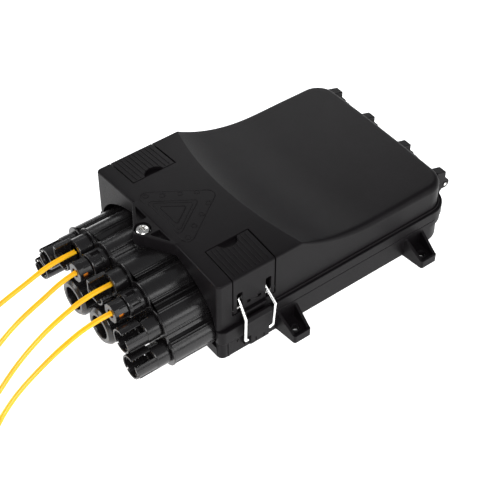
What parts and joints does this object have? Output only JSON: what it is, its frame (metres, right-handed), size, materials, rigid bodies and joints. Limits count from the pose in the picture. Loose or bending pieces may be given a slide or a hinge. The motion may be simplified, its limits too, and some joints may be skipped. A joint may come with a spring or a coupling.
{
  "type": "fiber termination box",
  "caption": "Black wall-mount fibre termination box with a hinged ramped cover, wire-bail latches, a fluted block of cable ports and yellow flat drop cables.",
  "frame": {"origin": "middle of the box's footprint, on the plane of its flat back, cables left out", "axes": "+X across the box, +Y from the cable ports towards the hinges, +Z from the flat back towards the cover"},
  "size_m": [0.2556, 0.4521, 0.0731],
  "materials": {
    "shell": "fine matt texture, black",
    "port_plastic": "satin black",
    "gasket": "soft matt black",
    "steel": "bright stainless",
    "wire": "bright drawn wire",
    "insert_brass": "machined",
    "amber_seal": "translucent amber",
    "tray": "smooth light grey",
    "tray_clear": "smooth pale grey, slightly clear",
    "adapter_green": "smooth green",
    "jacket": "smooth golden yellow jacket",
    "plug_green": "smooth green"
  },
  "bodies": {
    "base": {"base_tray": "shell", "lid_gasket": "gasket", "hinge_pin_1": "steel", "hinge_pin_2": "steel", "hinge_pin_3": "steel", "hinge_pin_4": "steel", "screw_insert": "insert_brass", "port_block": "port_plastic", "port_seal": "gasket", "port_sleeve_1": "port_plastic", "port_sleeve_2": "port_plastic", "port_sleeve_3": "port_plastic", "gland_collar_4": "port_plastic", "gland_seal_4": "amber_seal", "port_sleeve_5": "port_plastic", "gland_collar_6": "port_plastic", "gland_seal_6": "amber_seal", "port_sleeve_7": "port_plastic", "port_sleeve_8": "port_plastic", "main_port_bushing_1": "gasket", "main_port_bushing_2": "gasket", "splice_tray": "tray", "tray_cover": "tray_clear", "splitter_module": "steel", "adapter_rail": "port_plastic", "fibre_adapter_1": "adapter_green", "fibre_adapter_2": "adapter_green", "fibre_adapter_3": "adapter_green", "fibre_adapter_4": "adapter_green", "drop_cable_a": "jacket", "cable_coil_a": "jacket", "cable_plug_a": "plug_green", "drop_cable_b": "jacket", "cable_coil_b": "jacket", "cable_plug_b": "plug_green", "drop_cable_c": "jacket", "cable_coil_c": "jacket", "cable_plug_c": "plug_green", "drop_cable_d": "jacket", "cable_coil_d": "jacket", "cable_plug_d": "plug_green"},
    "lid": {"lid_cover": "shell", "latch_pin_right": "steel", "latch_pin_left": "steel"},
    "latch_right": {"latch_lever_right": "shell"},
    "bail_right": {"latch_bail_right": "wire"},
    "latch_left": {"latch_lever_left": "shell"},
    "bail_left": {"latch_bail_left": "wire"},
    "washer": {"screw_washer": "steel"},
    "screw": {"lid_screw": "steel"},
    "clamp_1": {"port_clamp_1": "port_plastic"},
    "clamp_2": {"port_clamp_2": "port_plastic"},
    "clamp_3": {"port_clamp_3": "port_plastic"},
    "clamp_5": {"port_clamp_5": "port_plastic"},
    "clamp_7": {"port_clamp_7": "port_plastic"},
    "clamp_8": {"port_clamp_8": "port_plastic"},
    "gland_4": {"gland_nut_4": "port_plastic"},
    "gland_6": {"gland_nut_6": "port_plastic"},
    "main_nut_1": {"main_port_nut_1": "port_plastic"},
    "main_nut_2": {"main_port_nut_2": "port_plastic"}
  },
  "joints": [
    {"name": "lid_hinge", "type": "hinge", "parent": "base", "child": "lid", "pos_m": [0, 0.13085, 0.035], "axis": [-1, 0, 0], "range_deg": [0, 105]},
    {"name": "latch_right_swing", "type": "hinge", "parent": "lid", "child": "latch_right", "pos_m": [0.0679, -0.04775, 0.0396], "axis": [0, 1, 0], "range_deg": [0, 90]},
    {"name": "bail_right_swing", "type": "hinge", "parent": "latch_right", "child": "bail_right", "pos_m": [0.0655, -0.04775, 0.0465], "axis": [0, 1, 0], "range_deg": [-90, 0]},
    {"name": "latch_left_swing", "type": "hinge", "parent": "lid", "child": "latch_left", "pos_m": [-0.0679, -0.04775, 0.0396], "axis": [0, -1, 0], "range_deg": [0, 90]},
    {"name": "bail_left_swing", "type": "hinge", "parent": "latch_left", "child": "bail_left", "pos_m": [-0.0655, -0.04775, 0.0465], "axis": [0, -1, 0], "range_deg": [-90, 0]},
    {"name": "screw_rise", "type": "slide", "parent": "lid", "child": "washer", "axis": [0, 0, 1], "range_m": [0, 0.0064]},
    {"name": "screw_turn", "type": "hinge", "parent": "washer", "child": "screw", "pos_m": [0, -0.08525, 0.07], "axis": [0, 0, 1], "range_deg": [0, 2880]},
    {"name": "clamp_1_close", "type": "hinge", "parent": "base", "child": "clamp_1", "pos_m": [-0.05017, -0.12665, 0.01517], "axis": [0, -1, 0], "range_deg": [-9, 16]},
    {"name": "clamp_2_close", "type": "hinge", "parent": "base", "child": "clamp_2", "pos_m": [-0.04107, -0.12665, 0.03197], "axis": [0, -1, 0], "range_deg": [-9, 16]},
    {"name": "clamp_3_close", "type": "hinge", "parent": "base", "child": "clamp_3", "pos_m": [-0.02659, -0.12665, 0.04196], "axis": [0, -1, 0], "range_deg": [-12, 20]},
    {"name": "clamp_5_close", "type": "hinge", "parent": "base", "child": "clamp_5", "pos_m": [0.01472, -0.12665, 0.04476], "axis": [0, -1, 0], "range_deg": [-12, 20]},
    {"name": "clamp_7_close", "type": "hinge", "parent": "base", "child": "clamp_7", "pos_m": [0.04107, -0.12665, 0.03197], "axis": [0, 1, 0], "range_deg": [-9, 16]},
    {"name": "clamp_8_close", "type": "hinge", "parent": "base", "child": "clamp_8", "pos_m": [0.05017, -0.12665, 0.01517], "axis": [0, 1, 0], "range_deg": [-9, 16]},
    {"name": "gland_4_turn", "type": "hinge", "parent": "base", "child": "gland_4", "pos_m": [-0.0112, -0.12665, 0.0511], "axis": [0, 1, 0], "continuous": true},
    {"name": "gland_6_turn", "type": "hinge", "parent": "base", "child": "gland_6", "pos_m": [0.0301, -0.12665, 0.0483], "axis": [0, 1, 0], "continuous": true},
    {"name": "main_nut_1_turn", "type": "hinge", "parent": "base", "child": "main_nut_1", "pos_m": [-0.016, -0.12265, 0.0234], "axis": [0, 1, 0], "continuous": true},
    {"name": "main_nut_2_turn", "type": "hinge", "parent": "base", "child": "main_nut_2", "pos_m": [0.016, -0.12265, 0.0234], "axis": [0, 1, 0], "continuous": true}
  ],
  "couplings": [
    {"joint": "bail_right_swing", "follows": "latch_right_swing", "ratio": -1},
    {"joint": "bail_left_swing", "follows": "latch_left_swing", "ratio": -1},
    {"joint": "screw_turn", "follows": "screw_rise", "rad_per_m": 7854}
  ]
}
